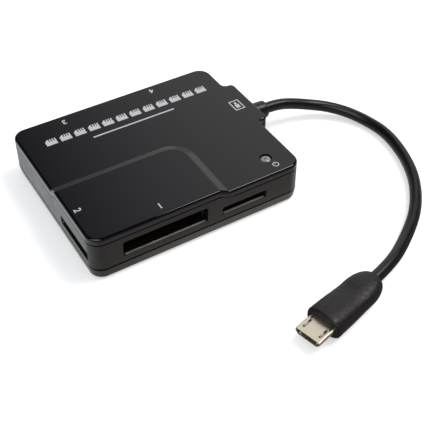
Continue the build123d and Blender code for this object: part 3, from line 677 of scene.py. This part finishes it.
circles = [[dome.verts.new((lamp_axis.x + radius * MM * math.cos(2 * math.pi * k / lamp_sides),
                            lamp_axis.y + radius * MM * math.sin(2 * math.pi * k / lamp_sides), level * MM))
            for k in range(lamp_sides)] for radius, level in lamp_profile]
for first, second in zip(circles, circles[1:]):
    for k in range(lamp_sides):
        n = (k + 1) % lamp_sides
        dome.faces.new((first[k], first[n], second[n], second[k]))
crown_point = dome.verts.new((lamp_axis.x, lamp_axis.y, crown * MM))
for k in range(lamp_sides):
    dome.faces.new((circles[-1][k], circles[-1][(k + 1) % lamp_sides], crown_point))
dome.faces.new(circles[0])
bmesh.ops.recalc_face_normals(dome, faces=dome.faces)
for face in dome.faces:
    face.smooth = True
dome.to_mesh(lamp_mesh)
dome.free()
lamp_mesh.set_sharp_from_angle(angle=crease_angle)
lamp_mesh.materials.append(lamp_resin)
lamp_dome = bpy.data.objects.new("lamp_dome", lamp_mesh)
scene.collection.objects.link(lamp_dome)
print("lamp axis", [round(value / MM, 2) for value in lamp_axis], "faces", len(lamp_mesh.polygons))

# %% [markdown]
# Two things on this reader come in even rows: the card signs printed on its lid and the solder joints behind
# its sockets. One Geometry Nodes tree serves both. It lays a line of points, puts a copy of the incoming
# shape on each of them, makes the copies real and gives them their finish. Its numbers are named inputs, so a
# row is changed by a count and a step, and not by modelling it again.

# %% Row tree
row_tree = bpy.data.node_groups.new("even_row", "GeometryNodeTree")
row_inputs = {}
for label, kind in (("Shape", "Geometry"), ("Count", "Int"), ("Start", "Vector"), ("Step", "Vector"),
                    ("Finish", "Material")):
    row_socket = row_tree.interface.new_socket(label, in_out="INPUT", socket_type="NodeSocket" + kind)
    row_inputs[label] = row_socket.identifier
row_tree.interface.new_socket("Row", in_out="OUTPUT", socket_type="NodeSocketGeometry")
row_in = row_tree.nodes.new("NodeGroupInput")
row_out = row_tree.nodes.new("NodeGroupOutput")
row_line = row_tree.nodes.new("GeometryNodeMeshLine")
row_copies = row_tree.nodes.new("GeometryNodeInstanceOnPoints")
row_real = row_tree.nodes.new("GeometryNodeRealizeInstances")
row_finish = row_tree.nodes.new("GeometryNodeSetMaterial")
for source, target in ((row_in.outputs["Count"], row_line.inputs["Count"]),
                       (row_in.outputs["Start"], row_line.inputs["Start Location"]),
                       (row_in.outputs["Step"], row_line.inputs["Offset"]),
                       (row_line.outputs["Mesh"], row_copies.inputs["Points"]),
                       (row_in.outputs["Shape"], row_copies.inputs["Instance"]),
                       (row_copies.outputs["Instances"], row_real.inputs["Geometry"]),
                       (row_real.outputs["Geometry"], row_finish.inputs["Geometry"]),
                       (row_in.outputs["Finish"], row_finish.inputs["Material"]),
                       (row_finish.outputs["Geometry"], row_out.inputs["Row"])):
    row_tree.links.new(source, target)


def even_row(shape_mesh, count, start, step, material):
    """A plain mesh of copies of a shape, in a row; start and step are in millimetres."""
    carrier = bpy.data.objects.new("row_carrier", shape_mesh)
    scene.collection.objects.link(carrier)
    modifier = carrier.modifiers.new("row", "NODES")
    modifier.node_group = row_tree
    modifier[row_inputs["Count"]] = count
    modifier[row_inputs["Start"]] = tuple(value * MM for value in start)
    modifier[row_inputs["Step"]] = tuple(value * MM for value in step)
    modifier[row_inputs["Finish"]] = material
    bpy.context.view_layer.update()
    row_mesh = bpy.data.meshes.new_from_object(carrier.evaluated_get(bpy.context.evaluated_depsgraph_get()))
    bpy.data.objects.remove(carrier)
    return row_mesh


print("row tree", len(row_tree.nodes), "nodes")

# %% [markdown]
# The lid is printed in white ink: a sign for the cards it reads, a number beside each slot, a sign by the lamp
# and one by the cord. The signs are plain shapes and numbers. Ink has a thickness, if only of two hundredths of
# a millimetre, so every sign is drawn flat, set on the lid and raised by that much. A line of even width is a
# strip of quads whose corners are mitred.

# %% Ink shapes
ink_thickness = 0.02
ink_gap = 0.004
ink_stroke = 0.32
ink_weld = 0.001
number_boldness = 0.05
print_white = finish("print_white", (0.6, 0.61, 0.62), 0.5)
spread(print_white, noise(print_white, 0.25 * MM), "Base Color", (0.44, 0.45, 0.46), (0.7, 0.71, 0.72))


def strip(points, width, closed=False):
    """The quads of a line of even width through flat points."""
    points = [Vector(point) for point in points]
    last = len(points) - 1
    edges = []
    for i, point in enumerate(points):
        ways = []
        if closed or i > 0:
            ways.append((point - points[i - 1]).normalized())
        if closed or i < last:
            ways.append((points[(i + 1) % len(points)] - point).normalized())
        way = sum(ways, Vector((0, 0))).normalized()
        side = Vector((-way.y, way.x))
        reach = width / 2 / max(0.5, side.dot(Vector((-ways[0].y, ways[0].x))))
        edges.append((point + side * reach, point - side * reach))
    pairs = zip(edges, edges[1:] + edges[:1]) if closed else zip(edges, edges[1:])
    return [(first[0], first[1], second[1], second[0]) for first, second in pairs]


def bar(x0, y0, x1, y1):
    """One filled upright rectangle."""
    return [(Vector((x0, y0)), Vector((x1, y0)), Vector((x1, y1)), Vector((x0, y1)))]


def arc(radius, start, end, steps, centre=(0, 0)):
    """Points on part of a circle, by degrees."""
    angles = [math.radians(start + (end - start) * k / steps) for k in range(steps + 1)]
    return [(centre[0] + radius * math.cos(a), centre[1] + radius * math.sin(a)) for a in angles]


def digit(sign, size):
    """The faces of a plain number, from Blender's own font, centred on the origin."""
    words = bpy.data.curves.new("slot_number", "FONT")
    words.body = sign
    words.size = size * MM
    words.align_x = "CENTER"
    words.align_y = "CENTER"
    words.resolution_u = 4
    words.offset = number_boldness * MM
    carrier = bpy.data.objects.new("slot_number", words)
    scene.collection.objects.link(carrier)
    bpy.context.view_layer.update()
    flat = bpy.data.meshes.new_from_object(carrier.evaluated_get(bpy.context.evaluated_depsgraph_get()))
    faces = [[flat.vertices[i].co.xy / MM for i in face.vertices] for face in flat.polygons]
    bpy.data.objects.remove(carrier)
    bpy.data.meshes.remove(flat)
    return faces


def ink_mesh(name, signs):
    """A mesh of printed signs; each is its faces, its place on the lid in millimetres and its turn in degrees."""
    shape = bmesh.new()
    for faces, place, degrees in signs:
        spot = Matrix.Translation(Vector(place)) @ Matrix.Rotation(math.radians(degrees), 4, "Z")
        for face in faces:
            corners = [spot @ Vector((*corner, ink_gap)) for corner in face]
            shape.faces.new([shape.verts.new(corner * MM) for corner in corners])
    bmesh.ops.remove_doubles(shape, verts=shape.verts, dist=ink_weld * MM)
    bmesh.ops.recalc_face_normals(shape, faces=shape.faces)
    for face in shape.faces:
        if face.normal.z < 0:
            face.normal_flip()
    raised = bmesh.ops.extrude_face_region(shape, geom=list(shape.faces), use_keep_orig=True)["geom"]
    for corner in raised:
        if isinstance(corner, bmesh.types.BMVert):
            corner.co.z += ink_thickness * MM
    bmesh.ops.recalc_face_normals(shape, faces=shape.faces)
    mesh = bpy.data.meshes.new(name)
    shape.to_mesh(mesh)
    shape.free()
    mesh.materials.append(print_white)
    return mesh


print("ink", ink_thickness, "mm thick")

# %% [markdown]
# The wide band of print is a row of card signs: a card with one clipped corner and three bare contact strips,
# repeated by the row tree, with a rule under it. The slot numbers at the rear face the rear, where they are
# read from.

# %% Print on the lid
lid_level, field_level = 12.2, 13.6
card_width, card_height, card_clip = 3.1, 2.5, 0.8
card_count = 12
strip_places, strip_half, strip_foot = (2.55, 1.9, 1.25), 0.15, 1.5
card_line = [(0, 0), (card_width, 0), (card_width, card_height)]
for place in strip_places:
    card_line += [(place + strip_half, card_height), (place + strip_half, strip_foot),
                  (place - strip_half, strip_foot), (place - strip_half, card_height)]
card_line += [(card_clip, card_height), (0, card_height - card_clip)]
card_faces = [[Vector(corner) for corner in card_line]]
band_left, band_right, band_foot = -25.2, 23.4, 14.6
card_step = (band_right - band_left - card_width) / (card_count - 1)
card_sign = ink_mesh("card_sign", [(card_faces, (0, 0, 0), 0)])
card_row = even_row(card_sign, card_count, (band_left, band_foot, lid_level), (card_step, 0, 0), print_white)
power_radius, power_stroke = 0.75, 0.26
lamp_faces = strip(arc(power_radius, 120, 420, 20), power_stroke)
lamp_faces += bar(-power_stroke / 2, 0.15, power_stroke / 2, 1.05)
cord_faces = strip([(-2.0, -1.35), (2.0, -1.35), (2.0, 1.35), (-2.0, 1.35)], ink_stroke, closed=True)
cord_faces += bar(-1.25, -0.6, 0.3, 0.6) + bar(0.45, -0.34, 1.3, 0.34)
number_size, rule_width = 2.6, 0.5
signs = [
    (digit("1", number_size), (-11.5, -21.9, field_level), 0),
    (digit("2", number_size), (-29.3, -13.0, field_level), -90),
    (digit("3", number_size), (-17.2, 22.0, lid_level), 180),
    (digit("4", number_size), (9.8, 22.5, lid_level), 180),
    (strip([(-13.2, 11.9), (11.2, 11.9)], rule_width), (0, 0, lid_level), 0),
    (lamp_faces, (22.1, -22.1, lid_level), 0),
    (cord_faces, (27.0, 4.4, lid_level), 90),
]
print_mesh = ink_mesh("lid_print", signs)
joined = bmesh.new()
joined.from_mesh(print_mesh)
joined.from_mesh(card_row)
joined.to_mesh(print_mesh)
joined.free()
lid_print = bpy.data.objects.new("lid_print", print_mesh)
scene.collection.objects.link(lid_print)
print("print faces", len(print_mesh.polygons), "cards", card_count)

# %% [markdown]
# Each contact spring of a socket ends in a tail on the board, held by a small mound of solder. The mound is a
# few rings drawn in to a point, and the row tree repeats it along each socket's tails. The contacts' own boxes
# say where the tails are.

# %% Solder joints
mound_rings = [(0.42, 0.0), (0.36, 0.1), (0.27, 0.2), (0.16, 0.28)]
mound_sides = 12
mound_mesh = bpy.data.meshes.new("solder_mound")
mound = bmesh.new()
mound_verts = [[mound.verts.new((radius * math.cos(2 * math.pi * k / mound_sides) * MM,
                                 radius * math.sin(2 * math.pi * k / mound_sides) * MM, level * MM))
                for k in range(mound_sides)] for radius, level in mound_rings]
for first, second in zip(mound_verts, mound_verts[1:]):
    for k in range(mound_sides):
        n = (k + 1) % mound_sides
        mound.faces.new((first[k], first[n], second[n], second[k]))
mound.faces.new(mound_verts[0])
mound.faces.new(mound_verts[-1])
bmesh.ops.recalc_face_normals(mound, faces=mound.faces)
mound.to_mesh(mound_mesh)
mound.free()
solder_rows = {"wide": (10, 0.8, "rear"), "small": (8, 0.5, "rear"), "left": (11, 0.4, "right"),
               "mini": (11, 0.7, "front"), "full": (9, 1.0, "front")}
tail_inset = 0.45
board_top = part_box("circuit_board")[1][2] / MM
joints = bmesh.new()
for socket, (count, blade, side) in solder_rows.items():
    low, high = [Vector(corner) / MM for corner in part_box(socket + "_socket_contacts")]
    axis = 1 if side == "right" else 0
    start = Vector((low.x + blade / 2, low.y + tail_inset, board_top))
    if side == "rear":
        start.y = high.y - tail_inset
    if side == "right":
        start = Vector((high.x - tail_inset, low.y + blade / 2, board_top))
    step = Vector((0, 0, 0))
    step[axis] = (high[axis] - low[axis] - blade) / (count - 1)
    joints.from_mesh(even_row(mound_mesh, count, start, step, tinned_lead))
joint_mesh = bpy.data.meshes.new("solder_joints")
joints.to_mesh(joint_mesh)
joints.free()
joint_mesh.materials.append(tinned_lead)
solder_joints = bpy.data.objects.new("solder_joints", joint_mesh)
scene.collection.objects.link(solder_joints)
print("solder joints", sum(row[0] for row in solder_rows.values()), "faces", len(joint_mesh.polygons))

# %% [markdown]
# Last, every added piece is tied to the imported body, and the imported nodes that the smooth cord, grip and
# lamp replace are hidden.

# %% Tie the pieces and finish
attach(cord_piece, "root")
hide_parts("cord")
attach(grip_piece, "root")
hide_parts("plug_grip")
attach(lamp_dome, "root")
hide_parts("power_lamp")
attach(slot_lips, "root")
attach(lid_print, "root")
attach(solder_joints, "root")
